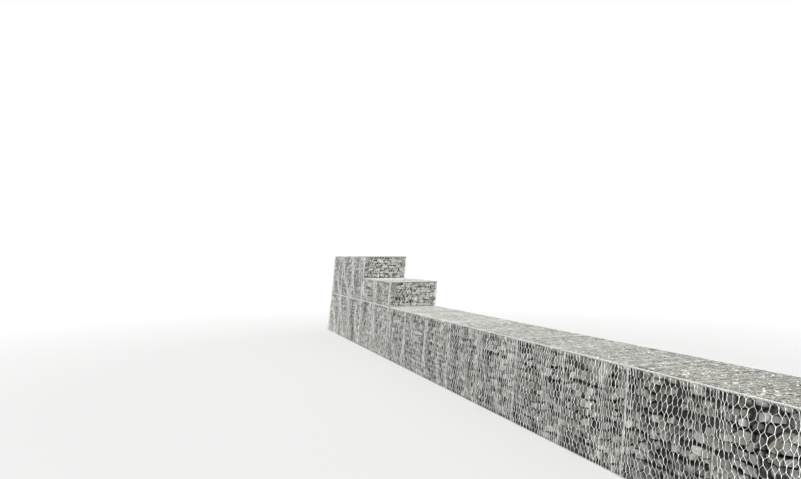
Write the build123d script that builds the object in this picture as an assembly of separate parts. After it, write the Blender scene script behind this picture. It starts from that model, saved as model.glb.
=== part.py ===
from build123d import *
import math
import os
from collections import namedtuple

# Gabion retaining wall: wire baskets two cells long, filled with rock and laced to each other.
# X runs along the wall with the near end at +X, the face looks towards -Y and leans back, Z is up.
# All sizes in millimetres. The origin is under the middle of the wall, at ground level.

# Baskets
cell_length = 1000.0  # from seam to seam
cells_per_basket = 2
basket_depth = 1000.0
course_height = 1000.0
half_height = 500.0
batter_angle = 6.0  # how far the face leans back, in degrees

# Layout, counted in cells from the near end
lower_baskets = 7
cells_before_step = 9
upper_row = [
    ("half_basket", cells_per_basket, half_height),
    ("upper_basket_1", cells_per_basket, course_height),
    ("upper_basket_2", 1, course_height),
]

# Rock fill
face_bulge = 42.0  # middle of a cell stands this far out of the plane of its seams
face_ties = 2  # levels of cross ties, where the bulge of the face turns

# Wires
edge_wire = 8.0  # selvedge with the net wound round it
lacing_wire = 3.6
lacing_corner = 4.0  # the corners of a lacing ring beside the rock are cut back this far
seat_gap = 0.3  # between wires that lie against each other
wire_sides = 8

# Lacing pitches
lid_ring_pitch = 500.0
upright_ring_pitch = 330.0
course_ring_pitch = 1000.0

# Places that follow from these sizes
lean = math.tan(math.radians(batter_angle))
basket_length = cells_per_basket * cell_length
wall_length = lower_baskets * basket_length
wall_height = 2 * course_height
near_end = wall_length / 2
front_foot = -(basket_depth + wall_height * lean) / 2
wire_inset = lacing_wire + seat_gap + edge_wire / 2  # wire centre behind the face
wire_step = edge_wire + seat_gap  # from one wire's centre to the next
joint_offset = wire_step / 2  # wire centre to the plane between two baskets
side_gap = edge_wire / 2 + seat_gap  # rock to the plane of a diaphragm or an end
ring_reach = wire_inset + edge_wire / 2 + seat_gap + lacing_wire  # ring behind the face
lid_ring_drop = wire_inset + wire_step + edge_wire / 2 + seat_gap + lacing_wire
edge_relief = ring_reach + lid_ring_drop - lacing_corner + seat_gap * math.sqrt(2)

Basket = namedtuple("Basket", "name far near cells base top")


def row_of_baskets(pieces, first_cell, base):
    """Baskets from the near end towards -X, given as (name, cells, height)."""
    row = []
    near = near_end - first_cell * cell_length
    for name, cells, height in pieces:
        far = near - cells * cell_length
        row.append(Basket(name, far, near, cells, base, base + height))
        near = far
    return row


lower_pieces = [
    (f"lower_basket_{number + 1}", cells_per_basket, course_height)
    for number in range(lower_baskets)
]
lower_course = row_of_baskets(lower_pieces, 0, 0.0)
upper_course = row_of_baskets(upper_row, cells_before_step, course_height)
baskets = lower_course + upper_course


def face_y(z, side):
    """Plane of the seams at height z: side -1 is the front face, 1 is the back."""
    middle = front_foot + basket_depth / 2 + z * lean
    return middle + side * basket_depth / 2


def wire_y(z, side):
    """Centre of a wire that runs behind the face."""
    return face_y(z, side) - side * wire_inset


def base_wire_z(basket):
    return basket.base + edge_wire / 2


def lid_wire_z(basket):
    return basket.top - wire_inset


def rim_wire_z(basket):
    return lid_wire_z(basket) - wire_step


def end_wires_x(basket):
    return basket.far + joint_offset, basket.near - joint_offset


def seams(basket):
    """Planes of the diaphragms inside a basket."""
    return [basket.far + cell_length * step for step in range(1, basket.cells)]


# Rock fill: each cell is what its plan, its side profile and its end profile have in common
def joined(*lines):
    return Face(Wire([edge for line in lines for edge in line.edges()]))


def cell_plan(far, near, base, top):
    """Plan with bulged faces and cut corners, run up along the leaning face."""
    left = far + side_gap
    right = near - side_gap
    front = face_y(base, -1)
    back = face_y(base, 1)
    middle = (left + right) / 2
    cut = edge_relief
    plan = joined(
        ThreePointArc((left + cut, front), (middle, front - face_bulge), (right - cut, front)),
        Polyline((right - cut, front), (right, front + cut), (right, back - cut), (right - cut, back)),
        ThreePointArc((right - cut, back), (middle, back + face_bulge), (left + cut, back)),
        Polyline((left + cut, back), (left, back - cut), (left, front + cut), (left + cut, front)),
    )
    rise = Vector(0, lean, 1) * (top - base)
    return extrude(Pos(0, 0, base) * plan, amount=rise.length, dir=rise.normalized())


def face_profile(base, top, side):
    """Points up a face, which bulges between the base, its cross ties and the lid."""
    low = base + edge_relief
    high = top - edge_relief
    points = []
    for level in range(face_ties + 2):
        share = level / (face_ties + 1)
        z = low + (high - low) * share
        points.append((face_y(z, side) + side * face_bulge * 4 * share * (1 - share), z))
    return points


def cell_side(far, near, base, top):
    """Side profile with the lean of the faces, run along the wall."""
    front = face_profile(base, top, -1)
    back = face_profile(base, top, 1)
    lid = [(face_y(top, side) - side * edge_relief, top) for side in (-1, 1)]
    foot = [(face_y(base, side) - side * edge_relief, base) for side in (1, -1)]
    profile = joined(Polyline(front + lid + back[::-1] + foot, close=True))
    return extrude(Plane.YZ.offset(far) * profile, amount=near - far, dir=(1, 0, 0))


def cell_end(far, near, base, top):
    """End profile with cut corners, run through the wall."""
    left = far + side_gap
    right = near - side_gap
    cut = edge_relief
    profile = joined(
        Polyline(
            (left + cut, base), (right - cut, base), (right, base + cut), (right, top - cut),
            (right - cut, top), (left + cut, top), (left, top - cut), (left, base + cut),
            close=True,
        )
    )
    reach = basket_depth + wall_height * lean + face_bulge
    return extrude(Plane.XZ * profile, amount=reach, both=True)


def rock_cell(far, near, base, top):
    extents = (far, near, base, top)
    return cell_plan(*extents) & cell_side(*extents) & cell_end(*extents)


def rock_fill(basket):
    cells = []
    for number in range(basket.cells):
        far = basket.far + number * cell_length
        cells.append(rock_cell(far, far + cell_length, basket.base, basket.top))
    return cells


# Wires: each panel's selvedge is a closed frame, mitred at its corners
def mitred_loop(corners, facing, out, up):
    """Line round a frame, so far outside the centre of its wire and so far above it."""
    loop = []
    for number, corner in enumerate(corners):
        onward = corners[(number + 1) % len(corners)]
        before = (corner - corners[number - 1]).normalized().cross(facing)
        after = (onward - corner).normalized().cross(facing)
        mitre = (before + after).normalized()
        loop.append(corner + mitre * (out / mitre.dot(after)) + facing * up)
    return loop


def wire_frame(corners):
    corners = [Vector(*corner) for corner in corners]
    facing = (corners[1] - corners[0]).cross(corners[2] - corners[1]).normalized()
    reach = edge_wire / 2 / math.cos(math.pi / wire_sides)
    loops = []
    for side in range(wire_sides):
        turn = 2 * math.pi * (side + 0.5) / wire_sides
        out, up = reach * math.cos(turn), reach * math.sin(turn)
        loops.append(mitred_loop(corners, facing, out, up))
    faces = []
    for low, high in zip(loops, loops[1:] + loops[:1]):
        for number in range(len(corners)):
            onward = (number + 1) % len(corners)
            outline = (low[number], low[onward], high[onward], high[number])
            faces.append(joined(Polyline(*outline, close=True)))
    return Solid(Shell(faces)).clean()


def level_frame(basket, z):
    """Frame round a basket at one height."""
    far, near = end_wires_x(basket)
    front = wire_y(z, -1)
    back = wire_y(z, 1)
    return wire_frame([(far, front, z), (near, front, z), (near, back, z), (far, back, z)])


def upright_frame(basket, x):
    """Frame of an end panel or a diaphragm, between the base wires and the rim."""
    low = base_wire_z(basket) + wire_step
    high = rim_wire_z(basket) - wire_step
    corners = [(-1, low), (1, low), (1, high), (-1, high)]
    return wire_frame([(x, wire_y(z, side), z) for side, z in corners])


def edge_wires(basket):
    frames = [level_frame(basket, base_wire_z(basket)), level_frame(basket, rim_wire_z(basket))]
    return frames + [upright_frame(basket, x) for x in end_wires_x(basket)]


def lid_frame(basket):
    return [level_frame(basket, lid_wire_z(basket))]


def diaphragm_frames(basket):
    return [upright_frame(basket, x) for x in seams(basket)]


# Lacing: closed rings, each round the wires that it ties, with two corners cut beside the rock
def ring_outline(low_u, low_v, high_u, high_v, cut, place):
    """Outline in the ring's own plane, where u runs from the face into the wall."""
    corners = [
        (low_u, low_v),
        (high_u - cut, low_v),
        (high_u, low_v + cut),
        (high_u, high_v - cut),
        (high_u - cut, high_v),
        (low_u, high_v),
    ]
    return Wire(Polyline([place(u, v) for u, v in corners], close=True).edges())


def ring(low_v, high_v, place, along):
    """Ring that clears wires between two places by the seat gap."""
    half = edge_wire / 2
    inner = (-half - seat_gap, low_v - half - seat_gap, half + seat_gap, high_v + half + seat_gap)
    outer = (
        inner[0] - lacing_wire,
        inner[1] - lacing_wire,
        inner[2] + lacing_wire,
        inner[3] + lacing_wire,
    )
    inner_cut = lacing_corner - lacing_wire * (2 - math.sqrt(2))
    outside = ring_outline(*outer, lacing_corner, place)
    inside = ring_outline(*inner, inner_cut, place)
    return extrude(Face(outside, [inside]), amount=lacing_wire / 2, dir=along, both=True)


def upright_ring(x, z, side):
    """Round the uprights of two neighbours, either side of the plane x."""
    def place(u, v):
        return x + v, wire_y(z, side) - side * u, z

    return ring(-joint_offset, joint_offset, place, (0, 0, 1))


def level_ring(x, low, high, side):
    """Round the wires that lie over each other between two heights."""
    def place(u, v):
        return x, wire_y(v, side) - side * u, v

    return ring(low, high, place, (1, 0, 0))


def spaced(low, high, pitch):
    """Places in the middles of whole steps of about the given pitch."""
    count = max(1, round((high - low) / pitch))
    step = (high - low) / count
    return [low + step * (number + 0.5) for number in range(count)]


def lid_rings(side):
    rings = []
    for basket in baskets:
        for x in spaced(basket.far, basket.near, lid_ring_pitch):
            rings.append(level_ring(x, rim_wire_z(basket), lid_wire_z(basket), side))
    return rings


def upright_rings(side):
    rings = []
    for row in (lower_course, upper_course):
        for near_basket, far_basket in zip(row, row[1:]):
            low = base_wire_z(near_basket) + edge_wire
            high = min(rim_wire_z(near_basket), rim_wire_z(far_basket)) - edge_wire
            for z in spaced(low, high, upright_ring_pitch):
                rings.append(upright_ring(near_basket.far, z, side))
    return rings


def course_rings():
    """Ties between the lids of the lower course and the baskets that stand on it."""
    rings = []
    rim = rim_wire_z(lower_course[0])
    for side in (-1, 1):
        for basket in upper_course:
            for x in spaced(basket.far, basket.near, course_ring_pitch):
                rings.append(level_ring(x, rim, base_wire_z(basket), side))
    return rings


nodes = {}
for basket in baskets:
    nodes[f"{basket.name}_rock_fill"] = rock_fill(basket)
    nodes[f"{basket.name}_edge_wires"] = edge_wires(basket)
    nodes[f"{basket.name}_lid_frame"] = lid_frame(basket)
    if basket.cells > 1:
        nodes[f"{basket.name}_diaphragm"] = diaphragm_frames(basket)
nodes["lid_lacing_front"] = lid_rings(-1)
nodes["lid_lacing_back"] = lid_rings(1)
nodes["joint_lacing_front"] = upright_rings(-1)
nodes["joint_lacing_back"] = upright_rings(1)
nodes["course_lacing"] = course_rings()

os.makedirs("parts", exist_ok=True)
for name, solids in nodes.items():
    whole = Compound(children=[solid for piece in solids for solid in piece.solids()])
    export_step(whole, f"parts/{name}.step")
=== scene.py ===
import math
import random
from collections import namedtuple

import bpy
import numpy as np
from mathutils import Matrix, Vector


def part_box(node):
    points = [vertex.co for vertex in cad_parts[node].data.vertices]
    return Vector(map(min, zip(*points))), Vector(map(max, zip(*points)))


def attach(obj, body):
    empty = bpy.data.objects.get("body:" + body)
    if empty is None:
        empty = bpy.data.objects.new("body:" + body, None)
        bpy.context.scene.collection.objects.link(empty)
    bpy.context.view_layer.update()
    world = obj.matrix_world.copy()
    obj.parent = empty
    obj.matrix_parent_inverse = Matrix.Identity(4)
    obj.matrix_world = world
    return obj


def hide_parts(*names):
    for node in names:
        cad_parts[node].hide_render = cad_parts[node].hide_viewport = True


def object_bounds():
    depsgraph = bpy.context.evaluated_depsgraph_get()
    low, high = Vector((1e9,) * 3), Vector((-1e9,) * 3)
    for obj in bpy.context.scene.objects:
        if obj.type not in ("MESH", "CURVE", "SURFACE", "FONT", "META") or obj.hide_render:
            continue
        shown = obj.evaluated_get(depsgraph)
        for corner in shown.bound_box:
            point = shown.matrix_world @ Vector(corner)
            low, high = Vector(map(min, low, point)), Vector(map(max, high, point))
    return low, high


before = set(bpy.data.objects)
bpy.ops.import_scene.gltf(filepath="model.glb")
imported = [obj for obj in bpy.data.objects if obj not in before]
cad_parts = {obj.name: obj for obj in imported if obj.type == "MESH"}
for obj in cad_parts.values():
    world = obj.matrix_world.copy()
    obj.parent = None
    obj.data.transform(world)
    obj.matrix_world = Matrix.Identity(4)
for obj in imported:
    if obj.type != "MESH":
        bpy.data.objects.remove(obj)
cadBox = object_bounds()
fullTurn = 2 * math.pi

# Measures that the baskets share, in metres, as in the frame
basketMeasures = {
    "cell": 1.0,  # from seam to seam
    "depth": 1.0,
    "lean": math.tan(math.radians(6.0)),
    "bulge": 0.042,
    "edgeWire": 0.008,
    "wireInset": 0.0079,  # centre of an edge wire behind the face
    "wireStep": 0.0083,  # from one edge wire to the next
}


def readBasket(name):
    fillLow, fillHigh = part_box(name + "_rock_fill")
    wireLow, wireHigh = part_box(name + "_edge_wires")
    lidLow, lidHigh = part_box(name + "_lid_frame")
    lidZ = (lidLow.z + lidHigh.z) / 2
    halfWire = basketMeasures["edgeWire"] / 2
    frontFoot = lidLow.y + halfWire - basketMeasures["wireInset"] - lidZ * basketMeasures["lean"]
    return {
        "name": name,
        "far": wireLow.x,
        "near": wireHigh.x,
        "base": fillLow.z,
        "top": fillHigh.z,
        "front": frontFoot,  # where the front face would meet the ground
        "cells": round((wireHigh.x - wireLow.x) / basketMeasures["cell"]),
    }


basketNames = [node[: -len("_rock_fill")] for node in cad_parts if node.endswith("_rock_fill")]
baskets = [readBasket(name) for name in sorted(basketNames)]
print("baskets read:", len(baskets))


# Faces: bulged between the seams, with slow waves where the rock has settled
faceShape = {
    "levels": [0.036, 0.345, 0.5, 0.655, 0.964],  # shares of a basket's height
    "bulged": [0.0, 0.889, 1.0, 0.889, 0.0],  # and of the full bulge at each of them
    "waves": 8,
    "wave": 0.0055,
    "rateLow": 4.0, "rateHigh": 12.0,  # radians to the metre
    "calmAlong": 0.16, "calmUp": 0.12,  # the waves die out in these shares beside an edge
    "seed": 4,
}


def slumped(x, z, side):
    chance = np.random.default_rng(faceShape["seed"] + side)
    total = np.zeros_like(x)
    for wave in range(faceShape["waves"]):
        alongRate, upRate = chance.uniform(faceShape["rateLow"], faceShape["rateHigh"], 2)
        total += faceShape["wave"] * np.sin(alongRate * x + upRate * z + chance.uniform(0, fullTurn))
    return total


def fadeIn(place, length, fade):
    # 0 at both ends of a length, and 1 from the given distance inwards
    return np.clip(np.minimum(place, length - place) / fade, 0, 1)


def faceY(basket, x, z, side):
    # the surface of the net: side -1 is the front and 1 the back
    along = ((x - basket["far"]) / basketMeasures["cell"]) % 1.0
    up = (z - basket["base"]) / (basket["top"] - basket["base"])
    rise = np.interp(up, faceShape["levels"], faceShape["bulged"])
    calm = fadeIn(along, 1, faceShape["calmAlong"]) * fadeIn(up, 1, faceShape["calmUp"])
    bulge = basketMeasures["bulge"] * 4 * along * (1 - along) * rise + slumped(x, z, side) * calm
    plane = basket["front"] + z * basketMeasures["lean"]
    if side > 0:
        return np.minimum(plane + basketMeasures["depth"] + bulge, cadBox[1].y)
    return np.maximum(plane - bulge, cadBox[0].y)


# Camera, at the photograph's place and angle
cameraPlace = {
    "x": 9.722,
    "y": -4.367,
    "z": 2.0,
    "turn": 19.35,  # degrees from straight along the wall
    "rise": 1.52,
    "lens": 28.0,
    "sensor": 36.0,
    "sight": 200.0,
}


def placeCamera():
    camera = bpy.data.cameras.new("camera")
    camera.lens = cameraPlace["lens"]
    camera.sensor_width = cameraPlace["sensor"]
    camera.clip_end = cameraPlace["sight"]
    holder = bpy.data.objects.new("camera", camera)
    bpy.context.scene.collection.objects.link(holder)
    turn = math.radians(cameraPlace["turn"])
    rise = math.radians(cameraPlace["rise"])
    look = Vector((-math.cos(turn) * math.cos(rise), math.sin(turn) * math.cos(rise), math.sin(rise)))
    holder.location = (cameraPlace["x"], cameraPlace["y"], cameraPlace["z"])
    holder.rotation_euler = look.to_track_quat("-Z", "Y").to_euler()
    bpy.context.scene.camera = holder


placeCamera()
print("camera placed")


# Shader sums: an expression on these adds its Math nodes
class Sum:
    def __init__(self, tree, socket):
        self.tree = tree
        self.socket = socket

    def work(self, operation, first, second):
        node = self.tree.nodes.new("ShaderNodeMath")
        node.operation = operation
        feed(self.tree, node.inputs[0], first)
        feed(self.tree, node.inputs[1], second)
        return Sum(self.tree, node.outputs[0])

    def __add__(self, other):
        return self.work("ADD", self, other)

    def __radd__(self, other):
        return self.work("ADD", other, self)

    def __sub__(self, other):
        return self.work("SUBTRACT", self, other)

    def __rsub__(self, other):
        return self.work("SUBTRACT", other, self)

    def __mul__(self, other):
        return self.work("MULTIPLY", self, other)

    def __rmul__(self, other):
        return self.work("MULTIPLY", other, self)


def feed(tree, socket, item):
    if isinstance(item, Sum):
        tree.links.new(item.socket, socket)
    else:
        socket.default_value = item


def colour(value):
    return (*value, 1.0) if isinstance(value, tuple) else value


class Nodes:
    def __init__(self, tree):
        self.tree = tree

    def node(self, kind, settings=None, sockets=None, output=0):
        node = self.tree.nodes.new("ShaderNode" + kind)
        for key, value in (settings or {}).items():
            if key == "stops":
                ramp = node.color_ramp.elements
                while len(ramp) < len(value):
                    ramp.new(0.5)
                for stop, (position, shade) in zip(ramp, value):
                    stop.position = position
                    stop.color = colour(shade)
            else:
                setattr(node, key, value)
        for key, value in (sockets or {}).items():
            feed(self.tree, node.inputs[key], value)
        return Sum(self.tree, node.outputs[output])

    def seenDirectly(self):
        # 1 for the camera, and for what metal and glass show
        camera, glossy, through = [
            self.node("LightPath", output=ray) for ray in ("Is Camera Ray", "Is Glossy Ray", "Is Transmission Ray")
        ]
        return camera + glossy + through


class Finish(Nodes):
    def __init__(self, name):
        self.material = bpy.data.materials.new(name)
        self.material.use_nodes = True
        super().__init__(self.material.node_tree)
        self.shader = self.tree.nodes["Principled BSDF"]
        self.place = self.node("TexCoord", output="Object")

    def noise(self, scale, detail=4.0, roughness=0.55):
        sockets = {"Vector": self.place, "Scale": scale, "Detail": detail, "Roughness": roughness}
        return self.node("TexNoise", sockets=sockets)

    def layer(self, name):
        # a number that each stone, chip or wire carries
        return self.node("Attribute", {"attribute_name": name}, output="Fac")

    def ramp(self, value, low, high, start=0.0, end=1.0):
        # takes a number from low..high to start..end, and holds it there
        sockets = {"Value": value, "From Min": low, "From Max": high, "To Min": start, "To Max": end}
        return self.node("MapRange", {"clamp": True}, sockets)

    def mix(self, share, first, second):
        sockets = {0: share, 6: colour(first), 7: colour(second)}
        return self.node("Mix", {"data_type": "RGBA"}, sockets, output=2)

    def bump(self, height, strength, distance, under=None):
        sockets = {"Height": height, "Strength": strength, "Distance": distance}
        if under is not None:
            sockets["Normal"] = under
        return self.node("Bump", sockets=sockets)

    def set(self, **sockets):
        names = {"colour": "Base Color", "roughness": "Roughness", "metal": "Metallic", "normal": "Normal"}
        for key, value in sockets.items():
            feed(self.tree, self.shader.inputs[names[key]], value)


# Finishes: a noise is given by its scale, detail and roughness
rockFinish = {
    # the darkest rock, and the near black where the painted shade on a stone's deep faces ends
    "darkestAndPaintedShade": (0.006, 0.006, 0.005),
    "dark": (0.080, 0.083, 0.075), "darkAt": 0.22,
    "middle": (0.178, 0.183, 0.167), "middleAt": 0.5,
    "pale": (0.35, 0.355, 0.33), "paleAt": 0.80,
    "bright": (0.55, 0.545, 0.50),
    "tan": (0.23, 0.205, 0.155), "tanMost": 0.55,
    "lichen": (0.155, 0.180, 0.130), "lichenMost": 0.55,
    "mottle": (22.0, 6.0, 0.62), "mottleDepth": 0.012,
    "grain": (180.0, 3.0, 0.6), "grainDepth": 0.005,
    "fine": (620.0, 2.0, 0.6), "fineDepth": 0.001,
    "byStone": 0.60, "byMottle": 0.60, "byGrain": 0.25, "darker": 0.225,  # what the shade is made of
}


def makeRock(name):
    rock = Finish(name)
    tone, hue = rock.layer("tone"), rock.layer("hue")
    mottle = rock.noise(*rockFinish["mottle"])
    grain = rock.noise(*rockFinish["grain"])
    fine = rock.noise(*rockFinish["fine"])
    # tone is each stone's own random tone, less the painted shade on its deep faces from setStone
    shade = tone * rockFinish["byStone"] + mottle * rockFinish["byMottle"] + grain * rockFinish["byGrain"]
    stops = [(0.0, rockFinish["darkestAndPaintedShade"])]
    stops += [(rockFinish[key + "At"], rockFinish[key]) for key in ("dark", "middle", "pale")]
    stops += [(1.0, rockFinish["bright"])]
    base = rock.node("ValToRGB", {"stops": stops}, {"Fac": shade - rockFinish["darker"]})
    warm = rock.ramp(hue, 0.82, 0.94, 0.0, rockFinish["tanMost"]) * rock.ramp(mottle, 0.35, 0.6)
    base = rock.mix(warm, base, rockFinish["tan"])
    patches = rock.ramp(rock.noise(5.0), 0.56, 0.68, 0.0, rockFinish["lichenMost"])
    base = rock.mix(patches * rock.ramp(hue, 0.0, 0.30, 1.0, 0.15), base, rockFinish["lichen"])
    normal = rock.bump(fine, 0.5, rockFinish["fineDepth"])
    normal = rock.bump(grain, 0.8, rockFinish["grainDepth"], normal)
    normal = rock.bump(mottle, 0.8, rockFinish["mottleDepth"], normal)
    rock.set(colour=base, roughness=rock.ramp(grain, 0.3, 0.7, 0.80, 0.96), normal=normal)
    return rock.material


# painted shade: near-black rock that stands for the shaded inside of a basket
paintedShadeFinish = {"dark": (0.012, 0.012, 0.011), "pale": (0.045, 0.043, 0.038), "mottle": (14.0, 5.0), "depth": 0.02}


def makePaintedShade(name):
    shade = Finish(name)
    mottle = shade.noise(*paintedShadeFinish["mottle"])
    base = shade.mix(shade.ramp(mottle, 0.35, 0.7), paintedShadeFinish["dark"], paintedShadeFinish["pale"])
    shade.set(colour=base, roughness=0.95, normal=shade.bump(mottle, 0.8, paintedShadeFinish["depth"]))
    return shade.material


wireFinish = {
    "net_wire": {"pale": (0.95, 0.96, 0.93), "dull": (0.46, 0.47, 0.45), "spools": True},
    "lid_wire": {"pale": (0.82, 0.83, 0.79), "dull": (0.58, 0.59, 0.56), "spools": False},
    "edge_wire": {"pale": (0.50, 0.51, 0.48), "dull": (0.33, 0.34, 0.32), "spools": False},
}
zinc = {
    "worn": (0.42, 0.41, 0.38), "wornMost": 0.35, "patch": (2.3, 3.0),
    "spangle": (90.0, 3.0), "depth": 0.0006, "metal": 0.45, "smooth": 0.38, "rough": 0.58,
}


def makeWire(name):
    wire = Finish(name)
    spangle = wire.noise(*zinc["spangle"])
    fresh = spangle
    if wireFinish[name]["spools"]:  # one wire is brighter than the next
        fresh = spangle * 0.5 + wire.layer("tone") * 0.5
    base = wire.mix(wire.ramp(fresh, 0.3, 0.7), wireFinish[name]["dull"], wireFinish[name]["pale"])
    patches = wire.ramp(wire.noise(*zinc["patch"]), 0.55, 0.75, 0.0, zinc["wornMost"])
    base = wire.mix(patches, base, zinc["worn"])
    rough = wire.ramp(spangle, 0.3, 0.7, zinc["smooth"], zinc["rough"])
    wire.set(colour=base, roughness=rough, metal=zinc["metal"], normal=wire.bump(spangle, 0.3, zinc["depth"]))
    return wire.material


gravelFinish = {
    "scale": 58.0,  # grains to the metre
    "dust": (40.0, 5.0), "dark": (0.47, 0.44, 0.385), "pale": (0.74, 0.695, 0.60),
    "grey": (0.28, 0.26, 0.23),  # the darkest grains
    # gap: painted shade in the hollows between grains
    "gap": (0.07, 0.065, 0.055), "hollowShadeMost": 0.85,
    "patch": (6.0, 6.0, 0.65), "soil": (0.12, 0.11, 0.09), "soilMost": 0.85,
    "darkChip": (0.09, 0.082, 0.068), "paleChip": (0.84, 0.80, 0.71), "chipMost": 0.95,
    "grainDepth": 0.008, "dustDepth": 0.006,
}


def makeGravel(name):
    gravel = Finish(name)
    grains = {"Vector": gravel.place, "Scale": gravelFinish["scale"]}
    away = gravel.node("TexVoronoi", {"feature": "F1"}, grains)
    tint = gravel.node("TexVoronoi", {"feature": "F1"}, grains, output="Color")
    tone = gravel.layer("tone")
    dust = gravel.noise(*gravelFinish["dust"])
    most = gravelFinish["chipMost"]
    base = gravel.mix(gravel.ramp(dust, 0.35, 0.65), gravelFinish["dark"], gravelFinish["pale"])
    base = gravel.mix(gravel.ramp(tint, 0.3, 0.7), gravelFinish["grey"], base)
    # painted shade: darker towards each grain's rim, in the hollows between grains
    base = gravel.mix(gravel.ramp(away, 0.40, 0.70, 0.0, gravelFinish["hollowShadeMost"]), base, gravelFinish["gap"])
    patches = gravel.ramp(gravel.noise(*gravelFinish["patch"]), 0.50, 0.60, 0.0, gravelFinish["soilMost"])
    base = gravel.mix(patches, base, gravelFinish["soil"])
    base = gravel.mix(gravel.ramp(tone, 0.0, 0.5, most, 0.0), base, gravelFinish["darkChip"])
    base = gravel.mix(gravel.ramp(tone, 0.5, 1.0, 0.0, most), base, gravelFinish["paleChip"])
    normal = gravel.bump(gravel.ramp(away, 0.1, 0.7, 1.0, 0.0), 0.8, gravelFinish["grainDepth"])
    normal = gravel.bump(dust, 0.6, gravelFinish["dustDepth"], normal)
    gravel.set(colour=base, roughness=0.93, normal=normal)
    return gravel.material


rockMaterial = makeRock("broken_rock")
paintedShadeMaterial = makePaintedShade("rock_in_shade")
netMaterial, lidMaterial, edgeMaterial = [makeWire(name) for name in wireFinish]
gravelMaterial = makeGravel("fine_gravel")

for nodeName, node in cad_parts.items():
    if not nodeName.endswith("_rock_fill"):
        node.data.materials.clear()
        node.data.materials.append(lidMaterial if "lid" in nodeName else edgeMaterial)
print("materials made")


# Modelling: what every shape goes through
def deselect():
    bpy.ops.object.select_all(action="DESELECT")


def pickAll():
    bpy.ops.object.mode_set(mode="EDIT")
    bpy.ops.mesh.select_all(action="SELECT")


def splitFaces():
    # all faces of the active piece into triangles, turned outwards
    pickAll()
    bpy.ops.mesh.quads_convert_to_tris()
    bpy.ops.mesh.select_all(action="SELECT")
    bpy.ops.mesh.normals_make_consistent(inside=False)
    bpy.ops.object.mode_set(mode="OBJECT")


def takeShape(piece):
    # points and triangles of a modelled piece, which is then cleared away
    mesh = piece.data
    points = np.empty(len(mesh.vertices) * 3)
    mesh.vertices.foreach_get("co", points)
    triangles = np.array([face.vertices[:] for face in mesh.polygons])
    bpy.data.objects.remove(piece)
    return points.reshape(-1, 3), triangles


class Heap:
    # gathers copied shapes, each with its own points, into one mesh
    def __init__(self):
        self.points = []
        self.triangles = []
        self.slots = []
        self.tones = []
        self.hues = []
        self.size = 0

    def add(self, points, triangles, slot=0, tone=0.5, hue=0.5):
        self.points.append(points)
        self.triangles.append(triangles + self.size)
        self.slots.append(np.full(len(triangles), slot))
        self.tones.append(np.broadcast_to(tone, len(points)))
        self.hues.append(np.broadcast_to(hue, len(points)))
        self.size += len(points)

    def build(self, name, materials):
        points = np.concatenate(self.points)
        triangles = np.concatenate(self.triangles)
        mesh = bpy.data.meshes.new(name)
        mesh.vertices.add(len(points))
        mesh.vertices.foreach_set("co", points.ravel())
        mesh.loops.add(triangles.size)
        mesh.loops.foreach_set("vertex_index", triangles.ravel())
        mesh.polygons.add(len(triangles))
        mesh.polygons.foreach_set("loop_start", np.arange(0, triangles.size, 3))
        mesh.polygons.foreach_set("material_index", np.concatenate(self.slots))
        mesh.update(calc_edges=True)
        for key, values in (("tone", self.tones), ("hue", self.hues)):
            layer = mesh.attributes.new(key, "FLOAT", "POINT")
            layer.data.foreach_set("value", np.concatenate(values))
        for material in materials:
            mesh.materials.append(material)
        piece = bpy.data.objects.new(name, mesh)
        bpy.context.scene.collection.objects.link(piece)
        deselect()
        piece.select_set(True)
        bpy.context.view_layer.objects.active = piece
        return piece


def trianglesIn(pieces):
    return sum(len(piece.data.polygons) for piece in pieces)


# Stones: a few broken shapes, cut from cubes, which are copied over every face
stoneShapes = {
    "count": 18, "cuts": 6, "seed": 11,
    "chips": 8, "chipCuts": 3, "chipsFrom": 100,  # chips are numbered from here
    "uneven": 0.5,  # how far a cut strays from its place round the stone
    "outLow": -0.6, "outHigh": 0.8,  # how far it turns in or out
    "split": 5.0,  # the first cut splits the face, a little off square
    "near": 0.53, "far": 0.82,  # distance of a cut, where 1 would touch a corner
    "merge": 0.03,
    "rough": 0.016,
    "soft": 24.0,  # edges under this many degrees are shaded smooth
}


def cutStone(number, cuts):
    chance = random.Random(stoneShapes["seed"] + number)
    deselect()
    bpy.ops.mesh.primitive_cube_add(size=1.0)
    piece = bpy.context.object
    bpy.ops.object.mode_set(mode="EDIT")
    for cut in range(cuts):
        angle = fullTurn * (cut + chance.uniform(-stoneShapes["uneven"], stoneShapes["uneven"])) / cuts
        outwards = chance.uniform(stoneShapes["outLow"], stoneShapes["outHigh"])
        if cut == 0:
            outwards = stoneShapes["split"]
        normal = Vector((math.cos(angle), math.sin(angle), outwards)).normalized()
        corner = 0.5 * (abs(normal.x) + abs(normal.y) + abs(normal.z))
        reach = corner * chance.uniform(stoneShapes["near"], stoneShapes["far"])
        bpy.ops.mesh.select_all(action="SELECT")
        bpy.ops.mesh.bisect(plane_co=normal * reach, plane_no=normal, use_fill=True, clear_outer=True)
    bpy.ops.mesh.select_all(action="SELECT")
    bpy.ops.mesh.remove_doubles(threshold=stoneShapes["merge"])
    bpy.ops.transform.vertex_random(offset=stoneShapes["rough"], seed=number)
    splitFaces()
    points, triangles = takeShape(piece)
    low, high = points.min(axis=0), points.max(axis=0)
    return (points - (low + high) / 2) / (high - low), triangles  # fitted to a box of side 1


stones = [cutStone(number, stoneShapes["cuts"]) for number in range(stoneShapes["count"])]
chipNumbers = range(stoneShapes["chipsFrom"], stoneShapes["chipsFrom"] + stoneShapes["chips"])
chips = [cutStone(number, stoneShapes["chipCuts"]) for number in chipNumbers]
print("stone shapes:", len(stones), "triangles each:", [len(triangles) for points, triangles in stones])
print("chip shapes:", len(chips), "triangles each:", [len(triangles) for points, triangles in chips])


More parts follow.
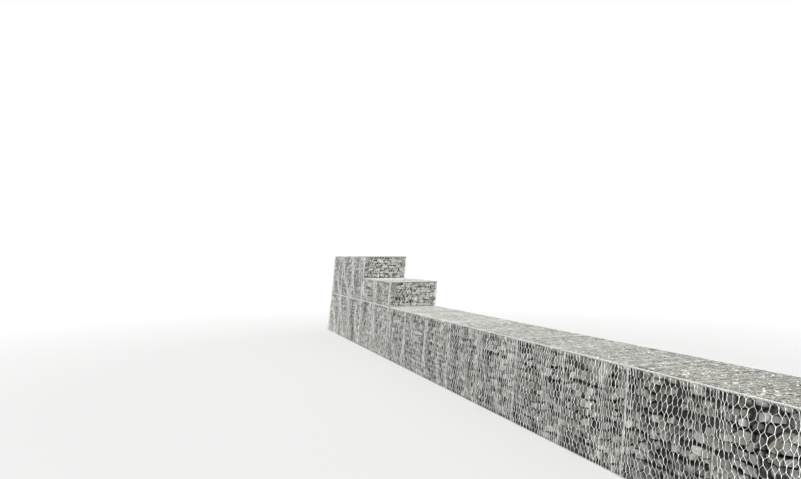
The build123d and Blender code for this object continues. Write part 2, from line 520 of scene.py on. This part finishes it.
def turned(points, *angles):
    # about X, then Y, then Z
    for (first, second), angle in zip(((1, 2), (2, 0), (0, 1)), angles):
        cosine, sine = math.cos(angle), math.sin(angle)
        a, b = points[:, first].copy(), points[:, second].copy()
        points[:, first] = a * cosine - b * sine
        points[:, second] = a * sine + b * cosine
    return points


# Panels: flat coordinates u, v and w (outwards) laid on the faces of a basket. Bare tells whether
# light reaches round the low end, the high end and the top of a panel.
Panel = namedtuple("Panel", "place width height mirrored bare")
touch = {"side": 0.02, "level": 0.01, "least": 0.05}  # how near counts as touching, and the least lid that shows


def openAbove(basket, side):
    # height from which an end shows, above the neighbour that stands against it
    x = basket["near"] if side > 0 else basket["far"]
    low = basket["base"]
    for other in baskets:
        touching = abs((other["far"] if side > 0 else other["near"]) - x) < touch["side"]
        if touching and abs(other["base"] - basket["base"]) < touch["level"]:
            low = other["top"]
    return low if low < basket["top"] - touch["level"] else None


def lidFrom(basket):
    # where the part of a lid starts that no other basket stands on
    over = [other["near"] for other in baskets if abs(other["base"] - basket["top"]) < touch["level"]]
    start = max([basket["far"]] + over)
    return start if start < basket["near"] - touch["least"] else None


def frontPanel(basket, side):
    def place(u, v, w):
        x = basket["far"] + u
        z = basket["base"] + v
        return np.stack([x, faceY(basket, x, z, side) + side * w, z], axis=1)
    width, height = basket["near"] - basket["far"], basket["top"] - basket["base"]
    bare = (openAbove(basket, -1) is not None, openAbove(basket, 1) is not None, True)
    return Panel(place, width, height, side > 0, bare)


def endPanel(basket, side, low):
    def place(u, v, w):
        z = low + v
        y = basket["front"] + z * basketMeasures["lean"] + u
        x = np.full_like(u, basket["near"] if side > 0 else basket["far"]) + side * w
        return np.stack([x, y, z], axis=1)
    return Panel(place, basketMeasures["depth"], basket["top"] - low, side < 0, (True, True, True))


def lidPanel(basket, far):
    def place(u, v, w):
        x = far + u
        y = basket["front"] + basket["top"] * basketMeasures["lean"] + v
        return np.stack([x, y, basket["top"] + w], axis=1)
    return Panel(place, basket["near"] - far, basketMeasures["depth"], False, (False, False, False))


# Face stones: laid in rows of uneven height, flat ones at the exposed ends
faceStones = {
    "rowLow": 0.055, "rowHigh": 0.095,
    "longLow": 0.85, "longHigh": 1.8,  # length over the row's height
    "tallLow": 0.90, "tallHigh": 1.14,  # height over the row's
    "thick": 0.10, "thickLow": 0.75, "thickHigh": 1.2,
    "fill": 0.90,  # a stone's box over its place in the row
    "start": 0.03,  # a row starts up to this far outside the panel
    "short": 0.04,  # least length
    "rest": 0.02,  # a row's rest is left empty under this
    "joins": 0.05,  # and goes to the stone before it under this
    "pairs": 0.18, "pairsFrom": 0.08,  # share laid in twos, in rows higher than this
    "underLid": 0.55,  # least height in the top row, where dark gaps are left
    "wave": 0.014, "waveRate": 5.0,  # rise and fall of a row
    "stagger": 0.20,  # how far a stone stands up or down out of its row
    "tilt": 0.10, "roll": 0.12,  # how crooked a stone lies, in radians
    "behindLow": 0.006, "behindHigh": 0.024,  # face behind the net
    "sunk": 0.24, "sunkLow": 0.010, "sunkHigh": 0.032,  # share that lies deeper
    "sag": 0.020, "sagSlant": 1.5,  # the rock lies further behind the net in broad bands
    "margin": 0.010, "edge": 0.006, "foot": 0.003,  # kept clear inside a panel
    "paler": 0.0,
    "seed": 100,
}
endStones = dict(
    faceStones, rowLow=0.04, rowHigh=0.075, longLow=1.3, longHigh=2.8, fill=0.93, stagger=0.16, paler=0.85,
    wave=0.006, sag=0.012,
)
lidStones = dict(
    faceStones, rowLow=0.07, rowHigh=0.12, longLow=1.0, longHigh=1.9, fill=0.62, behindLow=0.006,
    behindHigh=0.022, thick=0.05, paler=0.7, sag=0.0,
)
stoneToneAndPaintedShade = {"palest": 1.25, "lit": 0.026, "fade": 24.0, "deepest": 0.1}  # painted shade: past "lit" behind the faces that show, stones darken, for the shade in the gaps between them
# the shade slot takes the painted shade of the core
slots = {"rock": 0, "shade": 1, "gravel": 2}


def layStones(heap, panel, kind, chance):
    bands = chance.uniform(0, fullTurn)
    foot = 0.0
    roof = panel.height - kind["margin"]
    while foot < roof - kind["rest"]:
        height = min(chance.uniform(kind["rowLow"], kind["rowHigh"]), roof - foot)
        isLast = roof - foot - height < kind["rowLow"]
        if isLast:
            height = roof - foot
        layRow(heap, panel, kind, chance, (foot, height, bands, isLast and not panel.mirrored))
        foot += height


def layRow(heap, panel, kind, chance, row):
    foot, height, bands, underLid = row
    phase = chance.uniform(0, fullTurn)
    end = panel.width - kind["margin"]
    u = kind["margin"] - chance.uniform(0, kind["start"])
    while u < end - kind["rest"]:
        long = height * chance.uniform(kind["longLow"], kind["longHigh"])
        if end - u - long < kind["joins"]:
            long = end - u
        long = max(long, kind["short"])
        inTwos = chance.random() < kind["pairs"] and height > kind["pairsFrom"]
        levels = [(0.0, 0.5), (0.5, 1.0)] if inTwos else [(0.0, 1.0)]
        if underLid:
            levels = [(0.0, chance.uniform(kind["underLid"], 1.0))]
        for low, high in levels:
            middle = foot + height * (low + high) / 2 + kind["wave"] * math.sin(u * kind["waveRate"] + phase)
            middle += height * kind["stagger"] * chance.uniform(-1, 1)
            tall = height * (high - low) * chance.uniform(kind["tallLow"], kind["tallHigh"])
            sag = kind["sag"] * max(0.0, math.sin(fullTurn * u + kind["sagSlant"] * middle + bands))
            setStone(heap, panel, kind, chance, (u + long / 2, middle, long, tall, sag))
        u += long


def setStone(heap, panel, kind, chance, spot):
    u, v, long, tall, sag = spot
    points, triangles = stones[chance.randrange(len(stones))]
    points = points.copy()
    if chance.random() < 0.5:
        points = turned(points, math.pi)
    if chance.random() < 0.5:
        points = turned(points, 0, math.pi)
    thick = kind["thick"] * chance.uniform(kind["thickLow"], kind["thickHigh"])
    points = points * np.array([long * kind["fill"], tall * kind["fill"], thick])
    points = turned(points, *[chance.gauss(0, kind[angle]) for angle in ("tilt", "tilt", "roll")])
    behind = chance.uniform(kind["behindLow"], kind["behindHigh"]) + sag
    if chance.random() < kind["sunk"]:
        behind += chance.uniform(kind["sunkLow"], kind["sunkHigh"])
    points[:, 2] -= points[:, 2].max() + behind
    u = np.clip(points[:, 0] + u, kind["edge"], panel.width - kind["edge"])
    v = np.clip(points[:, 1] + v, kind["foot"], panel.height - kind["edge"])
    placed = panel.place(u, v, points[:, 2])
    order = triangles[:, ::-1] if panel.mirrored else triangles
    tone = chance.random() * (1 - kind["paler"]) + kind["paler"] * stoneToneAndPaintedShade["palest"]
    depth = -points[:, 2]  # under the nearest face that shows
    for shows, away in zip(panel.bare, (u, panel.width - u, panel.height - v)):
        if shows:
            depth = np.minimum(depth, away)
    # painted shade: darker the deeper a point lies behind the net and the bare edges, for the shade between stones
    tone = tone - stoneToneAndPaintedShade["fade"] * np.clip(depth - stoneToneAndPaintedShade["lit"], 0, stoneToneAndPaintedShade["deepest"])
    heap.add(placed, order, slots["rock"], tone, chance.random())


# Lid: a gravel bed a little below the net, with flat stones and strewn chips that stand half out of it
lidBed = {
    "below": 0.014,  # under the net
    "rows": 26,  # of points, from front to back
    "rough": 0.005, "ragged": 0.022,  # how far its top and its rims stray
    "seed": 5,
}
chipBed = {
    "each": 340,  # to the square metre
    "small": 0.016, "large": 0.050,
    "wideLow": 0.6, "wideHigh": 1.0, "flat": 0.6,  # over the length
    "tilt": 0.35,
    "below": 0.003, "deep": 0.010,  # top under the net, and up to so much more
    "edge": 0.036,  # middle inside the panel's edge
}


def strewChips(heap, panel, chance):
    for chip in range(round(chipBed["each"] * panel.width * panel.height)):
        points, triangles = chips[chance.randrange(len(chips))]
        long = chance.triangular(chipBed["small"], chipBed["large"], chipBed["small"])
        wide = long * chance.uniform(chipBed["wideLow"], chipBed["wideHigh"])
        tilts = chance.gauss(0, chipBed["tilt"]), chance.gauss(0, chipBed["tilt"])
        size = np.array([long, wide, long * chipBed["flat"]])
        points = turned(points * size, *tilts, chance.uniform(0, fullTurn))
        points[:, 2] -= points[:, 2].max() + chipBed["below"] + chance.uniform(0, chipBed["deep"])
        u = points[:, 0] + chance.uniform(chipBed["edge"], panel.width - chipBed["edge"])
        v = points[:, 1] + chance.uniform(chipBed["edge"], panel.height - chipBed["edge"])
        heap.add(panel.place(u, v, points[:, 2]), triangles, slots["gravel"], chance.random(), chance.random())


# Core: what fills a basket behind its face stones, with soil where it stands, both in the near-black painted shade
# of the rock_in_shade finish
core = {
    "behind": 0.062,  # the faces
    "joint": 0.003,  # inside the joint with a neighbour
    "floor": 0.004,  # over the base
    "edge": 0.012, "soil": (0.001, 0.009),  # rim and heights of the soil
    "tone": 0.2,
}


def acrossAt(basket, z, inset):
    # front and back of a block at one height
    front = basket["front"] + z * basketMeasures["lean"]
    return front + inset, front + basketMeasures["depth"] - inset


def addBlock(heap, left, right, low, high):
    # low and high are each a front, a back and a height
    corners = []
    for front, back, z in (low, high):
        corners += [[left, front, z], [right, front, z], [right, back, z], [left, back, z]]
    sides = [
        [0, 2, 1], [0, 3, 2], [4, 5, 6], [4, 6, 7], [0, 1, 5], [0, 5, 4], [1, 2, 6], [1, 6, 5],
        [2, 3, 7], [2, 7, 6], [3, 0, 4], [3, 4, 7],
    ]
    # painted shade: the blocks take the near-black core finish
    heap.add(np.array(corners), np.array(sides), slots["shade"], core["tone"])


def addGravel(heap, basket, x, front, back, z):
    # a rough grid, let down at its rim and ragged along its front and back
    rows, rough = lidBed["rows"], lidBed["rough"]
    chance = np.random.default_rng(lidBed["seed"] + round(basket["far"] * 10) % 97)  # each basket has its own
    gridX, gridY = np.meshgrid(x, front + (back - front) * np.linspace(0, 1, rows), indexing="ij")
    lift = np.clip(chance.normal(0, rough * 0.5, gridX.shape), -rough, rough)
    lift[0, :] = lift[-1, :] = lift[:, 0] = lift[:, -1] = -rough
    gridY[:, 0] -= chance.uniform(0.0, lidBed["ragged"], len(x))
    gridY[:, -1] += chance.uniform(0.0, lidBed["ragged"], len(x))
    top = np.stack([gridX, gridY, z + lift], axis=-1).reshape(-1, 3)
    corner = (np.arange(len(x) - 1)[:, None] * rows + np.arange(rows - 1)[None, :]).ravel()
    onward = corner + rows
    halves = [np.stack([corner, onward, onward + 1], 1), np.stack([corner, onward + 1, corner + 1], 1)]
    heap.add(top, np.concatenate(halves), slots["gravel"])


def addCore(heap, basket):
    behind, edge = core["behind"], core["edge"]
    insets = [core["joint"] if openAbove(basket, side) is None else behind for side in (-1, 1)]
    x = np.linspace(basket["far"] + insets[0], basket["near"] - insets[1], lidBed["rows"] * 2)
    low, high = basket["base"] + core["floor"], basket["top"] - lidBed["below"]
    front, back = acrossAt(basket, high, behind)
    addGravel(heap, basket, x, front, back, high)
    underGravel = (front, back, high - 2 * lidBed["rough"])
    addBlock(heap, x[0], x[-1], (*acrossAt(basket, low, behind), low), underGravel)
    soil = [(*acrossAt(basket, basket["base"], edge), basket["base"] + level) for level in core["soil"]]
    addBlock(heap, basket["far"] + edge, basket["near"] - edge, *soil)


def openPanels(basket):
    # panels that show, each with the kind of stone behind it
    panels = [(frontPanel(basket, side), faceStones) for side in (-1, 1)]
    for side in (-1, 1):
        low = openAbove(basket, side)
        if low is not None:
            panels.append((endPanel(basket, side, low), endStones))
    start = lidFrom(basket)
    if start is not None:
        panels.append((lidPanel(basket, start), lidStones))
    return panels


def layBasket(basket, number):
    chance = random.Random(faceStones["seed"] + number)
    heap = Heap()
    addCore(heap, basket)
    for panel, kind in openPanels(basket):
        layStones(heap, panel, kind, chance)
        if kind is lidStones:
            strewChips(heap, panel, chance)
    piece = heap.build(basket["name"] + "_stones", [rockMaterial, paintedShadeMaterial, gravelMaterial])
    bpy.ops.object.shade_smooth_by_angle(angle=math.radians(stoneShapes["soft"]))
    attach(piece, "root")
    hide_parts(basket["name"] + "_rock_fill")
    return piece


stonePieces = [layBasket(basket, number) for number, basket in enumerate(baskets)]
print("stones laid, triangles:", trianglesIn(stonePieces))


# Net: one repeat of two wires that twist round each other, arrayed into flat panels
net = {
    "pitch": 1.0 / 21,  # across, from twist to twist
    "repeat": 1.0 / 7,  # up, two rows of meshes
    "twist": 0.0454,  # length of a twist
    "wire": 0.0040,
    "sides": 3,
    "gap": 0.45, "over": 0.5,  # wires of a twist beside and over each other, in wires
    "merge": 0.0002,
    "lift": 0.005,  # behind the face
    "end": 0.006, "side": 0.002,  # inside the edges
    "lidDull": 0.4,  # how much duller the wires of the lid are, under dust
    "seed": 40, "seeds": 7,  # so many for each basket's panels
}


def addStrand(turn):
    # one wire over one repeat: drawn out of a ring, upwards, over its partner and back, then aslant
    gap, over = net["wire"] * net["gap"], net["wire"] * net["over"]
    halfTwist = net["twist"] / 2
    slant = net["repeat"] / 2 - net["twist"]
    aside = net["pitch"] / 2 - 2 * gap
    deselect()
    bpy.ops.mesh.primitive_circle_add(vertices=net["sides"], radius=net["wire"] / 2, fill_type="NOTHING")
    piece = bpy.context.object
    pickAll()
    bpy.ops.transform.translate(value=(turn * gap, 0, 0))
    moves = [
        (-turn * 2 * gap, turn * over, halfTwist),
        (turn * 2 * gap, -turn * over, halfTwist),
        (turn * aside, 0, slant),
        (turn * 2 * gap, -turn * over, halfTwist),
        (-turn * 2 * gap, turn * over, halfTwist),
        (-turn * aside, 0, slant),
    ]
    for move in moves:
        bpy.ops.mesh.extrude_region_move(TRANSFORM_OT_translate={"value": move})
    bpy.ops.object.mode_set(mode="OBJECT")
    return piece


def flatNet(width, height):
    # panel in the plane x, z with its first twist at half a pitch
    left, right = addStrand(1), addStrand(-1)
    for vertex in right.data.vertices:
        vertex.co.x += net["pitch"]
    deselect()
    for piece in (left, right):
        piece.select_set(True)
    bpy.context.view_layer.objects.active = left
    bpy.ops.object.join()
    copies = {
        "rows": (max(1, round(height / net["repeat"])), (0, 0, net["repeat"])),
        "columns": (max(1, round(width / net["pitch"])), (net["pitch"], 0, 0)),
    }
    for name, (count, step) in copies.items():
        array = left.modifiers.new(name, "ARRAY")
        array.count = count
        array.use_relative_offset = False
        array.use_constant_offset = True
        array.constant_offset_displace = step
        array.use_merge_vertices = name == "rows"
        array.merge_threshold = net["merge"]
        bpy.ops.object.modifier_apply(modifier=name)
    splitFaces()
    return takeShape(left)


flatNets = {}


def netFor(panel):
    size = (round(panel.width, 2), round(panel.height, 2))
    if size not in flatNets:
        flatNets[size] = flatNet(*size)
    return flatNets[size]


# Pulls: how the real net strays from its pattern, in metres
pulls = {
    "waves": 9, "rateLow": 6.0, "rateHigh": 42.0,  # radians to the metre
    "wave": 0.004, "waveLow": 0.2, "waveHigh": 0.5,
    "gather": 0.045, "sharp": 0.23,  # the meshes of a cell crowd towards its seams
    "opens": 0.33,  # and are widest at this share of it
    "crowd": 0.0108, "crowdLow": 0.5, "crowdSlant": 0.9,  # and crowd here and there
    "row": 0.0045, "rowMost": 0.010,  # an upright row of twists
    "loose": 0.0034, "looseMost": 0.006,  # each twist alone
    "out": 0.5, "outMost": 0.0012,  # outwards, over the pull along
    "calm": 0.06,  # no pull at the base and the lid, and all of it from here
}


def gathered(u):
    turn = fullTurn * (u - pulls["opens"])
    return pulls["gather"] * (np.sin(turn) + pulls["sharp"] * np.sin(2 * turn))


def strayed(u, v, seed):
    # along, up and out, and a number for each upright row
    chance = np.random.default_rng(seed)
    du, dv = np.zeros_like(u), np.zeros_like(u)
    for wave in range(pulls["waves"]):
        alongRate, upRate = chance.uniform(pulls["rateLow"], pulls["rateHigh"], 2)
        first, second = chance.uniform(0, fullTurn, 2)
        reach = pulls["wave"] * chance.uniform(pulls["waveLow"], pulls["waveHigh"])
        du += reach * np.sin(alongRate * u + upRate * v + first)
        dv += reach * np.sin(upRate * u - alongRate * v + second)
    for wave in (1, 2, 3):  # to the metre
        start, share = chance.uniform(0, fullTurn), chance.uniform(pulls["crowdLow"], 1.0)
        crowded = np.sin(wave * fullTurn * u + start + pulls["crowdSlant"] * v) - math.sin(start)
        du += pulls["crowd"] * share * crowded / wave
    column = np.rint(u / (net["pitch"] / 2)).astype(int)
    row = np.floor(v / (net["repeat"] / 2) + 0.01).astype(int)  # a twist's foot counts as inside
    columns, rows = column.max() + 1, row.max() + 1
    du += np.clip(chance.normal(0, pulls["row"], columns), -pulls["rowMost"], pulls["rowMost"])[column]
    loose = chance.normal(0, pulls["loose"], (columns, rows, 3))
    loose = np.clip(loose, -pulls["looseMost"], pulls["looseMost"])[column, row]
    spool = chance.random(columns)[column]
    return du + loose[:, 0], dv + loose[:, 1], loose[:, 2] * pulls["out"], spool


def stretchNet(heap, panel, seed, dull):
    points, triangles = netFor(panel)
    u = points[:, 0] * (panel.width / (round(panel.width / net["pitch"]) * net["pitch"]))
    v = points[:, 2] * (panel.height / (round(panel.height / net["repeat"]) * net["repeat"]))
    du, dv, dw, spool = strayed(u, v, seed)
    calm = fadeIn(v, panel.height, pulls["calm"])
    u = np.clip(u + gathered(u) - gathered(0.0) + du * calm, net["side"], panel.width - net["side"])
    up = np.clip((v + dv * calm) / panel.height, 0, 1)
    v = net["end"] + (panel.height - 2 * net["end"]) * up
    w = np.minimum(dw * calm, pulls["outMost"]) - points[:, 1] - net["lift"]
    order = triangles[:, ::-1] if panel.mirrored else triangles
    heap.add(panel.place(u, v, w), order, tone=spool * (1 - dull))


def hangNet(basket, number):
    heap = Heap()
    for place, (panel, kind) in enumerate(openPanels(basket)):
        dull = net["lidDull"] if kind is lidStones else 0.0
        stretchNet(heap, panel, net["seed"] + net["seeds"] * number + place, dull)
    piece = heap.build(basket["name"] + "_net", [netMaterial])
    bpy.ops.object.shade_smooth()
    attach(piece, "root")
    return piece


netPieces = [hangNet(basket, number) for number, basket in enumerate(baskets)]
print("nets hung, triangles:", trianglesIn(netPieces))


# Lacing: a thin wire wound round the edge wires, once at every mesh
lacing = {
    "wire": 0.0024,
    "pitch": 1.0 / 19,
    "sides": 3,
    "steps": 6,
    "radius": 0.02,  # of the coil, before it is pressed to its wires
    "long": 0.0105, "short": 0.0062,  # half its width round two wires and round one
    "low": 0.012, "high": 1.8,  # above the base, and below the lid in wire steps
    "endGap": 0.003, "cornerGap": 0.01,
}
lacingSlots = {"lid": 0, "edge": 1}


def woundWire(turns):
    # straight along Z: a ring of few sides, screwed up round the axis
    deselect()
    bpy.ops.mesh.primitive_circle_add(vertices=lacing["sides"], radius=lacing["wire"] / 2, fill_type="NOTHING")
    piece = bpy.context.object
    pickAll()
    bpy.ops.transform.rotate(value=math.pi / 2, orient_axis="X", center_override=(0, 0, 0))
    bpy.ops.transform.translate(value=(lacing["radius"], 0, 0))
    bpy.ops.object.mode_set(mode="OBJECT")
    screw = piece.modifiers.new("screw", "SCREW")
    screw.axis = "Z"
    screw.steps = lacing["steps"]
    screw.render_steps = lacing["steps"]
    screw.screw_offset = lacing["pitch"]
    screw.iterations = turns
    screw.use_merge_vertices = True
    bpy.ops.object.modifier_apply(modifier="screw")
    splitFaces()
    return takeShape(piece)


woundWires = {}


def windAlong(heap, start, end, longWay, shortWay, wires=2):
    # longWay points from one edge wire to its neighbour, shortWay out of the wall
    start, end = np.array(start), np.array(end)
    long = lacing["long"] if wires == 2 else lacing["short"]
    turns = max(1, round(float(np.linalg.norm(end - start)) / lacing["pitch"]))
    if turns not in woundWires:
        woundWires[turns] = woundWire(turns)
    points, triangles = woundWires[turns]
    angle = np.arctan2(points[:, 1], points[:, 0])
    thick = np.hypot(points[:, 0], points[:, 1]) - lacing["radius"]
    share = points[:, 2] / (turns * lacing["pitch"])
    placed = start + np.outer(share, end - start)
    placed = placed + np.outer((long + thick) * np.cos(angle), longWay)
    placed = placed + np.outer((lacing["short"] + thick) * np.sin(angle), shortWay)
    placed = np.clip(placed, cadBox[0], cadBox[1])
    flipped = np.dot(np.cross(longWay, shortWay), end - start) < 0
    slot = lacingSlots["lid" if wires == 2 else "edge"]
    heap.add(placed, triangles[:, ::-1] if flipped else triangles, slot)


def uprights(basket):
    # where the upright edge wires stand, and how many side by side
    aside = basketMeasures["wireStep"] / 2
    places = [(basket["far"], 2) if openAbove(basket, -1) is None else (basket["far"] + aside, 1)]
    for seam in range(1, basket["cells"]):
        places.append((basket["far"] + basketMeasures["cell"] * seam, 1))
    if openAbove(basket, 1) is not None:  # else they are laced with the neighbour's
        places.append((basket["near"] - aside, 1))
    return places


def windBasket(basket):
    heap = Heap()
    inset, step = basketMeasures["wireInset"], basketMeasures["wireStep"]
    middle = basket["top"] - inset - step / 2
    low, high = basket["base"] + lacing["low"], basket["top"] - inset - step * lacing["high"]
    far, near = basket["far"] + lacing["endGap"], basket["near"] - lacing["endGap"]

    def wireY(z, side):
        wire = basketMeasures["depth"] - inset if side > 0 else inset
        return basket["front"] + z * basketMeasures["lean"] + wire

    for side in (-1, 1):
        y = wireY(middle, side)
        windAlong(heap, (far, y, middle), (near, y, middle), (0, 0, 1), (0, 1, 0))
        for x, wires in uprights(basket):
            windAlong(heap, (x, wireY(low, side), low), (x, wireY(high, side), high), (1, 0, 0), (0, 1, 0), wires)
        if openAbove(basket, side) is not None:
            x = (basket["near"] if side > 0 else basket["far"]) - side * step / 2
            front, back = wireY(middle, -1) + lacing["cornerGap"], wireY(middle, 1) - lacing["cornerGap"]
            windAlong(heap, (x, front, middle), (x, back, middle), (0, 0, 1), (1, 0, 0))
    piece = heap.build(basket["name"] + "_lacing", [lidMaterial, edgeMaterial])
    bpy.ops.object.shade_smooth()
    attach(piece, "root")
    return piece


lacingPieces = [windBasket(basket) for basket in baskets]
print("lacing wound, triangles:", trianglesIn(lacingPieces))


# Floor and light
studio = {
    "floorSize": 120.0,
    "floorLevel": -0.001,
    "floorColour": (0.93, 0.93, 0.93),
    "floorNear": (0.66, 0.66, 0.655),
    "fadeNear": 6.0, "fadeFar": 26.0,
    "floorBounce": (0.3, 0.3, 0.29),  # what the floor casts back on the wall
    "sky": 0.44,
    "sun": 4.8, "sunSoft": 4.0,
    "sunWay": (-0.70, 0.62, -0.64),
}


def makeFloor():
    deselect()
    bpy.ops.mesh.primitive_plane_add(size=studio["floorSize"], location=(0, 0, studio["floorLevel"]))
    floor = bpy.context.object
    floor.name = "floor"
    ground = Finish("pale_floor")
    away = ground.node("VectorMath", {"operation": "LENGTH"}, {0: ground.place}, output="Value")
    away = ground.ramp(away, studio["fadeNear"], studio["fadeFar"])
    pale = ground.mix(away, studio["floorNear"], studio["floorColour"])
    ground.set(colour=ground.mix(ground.seenDirectly(), studio["floorBounce"], pale), roughness=0.9)
    floor.data.materials.append(ground.material)


def makeSky():
    # white to the camera, softer on the wall
    world = bpy.data.worlds.new("sky")
    bpy.context.scene.world = world
    world.use_nodes = True
    sky = Nodes(world.node_tree)
    white = (1, 1, 1, 1)
    soft = sky.node("Background", sockets={"Color": white, "Strength": studio["sky"]})
    plain = sky.node("Background", sockets={"Color": white, "Strength": 1.0})
    light = sky.node("MixShader", sockets={0: sky.seenDirectly(), 1: soft, 2: plain})
    feed(sky.tree, sky.tree.nodes["World Output"].inputs[0], light)


def makeSun():
    sun = bpy.data.lights.new("sun", "SUN")
    sun.energy = studio["sun"]
    sun.angle = math.radians(studio["sunSoft"])
    holder = bpy.data.objects.new("sun", sun)
    bpy.context.scene.collection.objects.link(holder)
    holder.rotation_euler = Vector(studio["sunWay"]).to_track_quat("-Z", "Y").to_euler()


makeFloor()
makeSky()
makeSun()
bpy.context.scene.view_settings.view_transform = "Standard"
print("floor and light made")

print("cad box", [tuple(round(c, 4) for c in corner) for corner in cadBox])
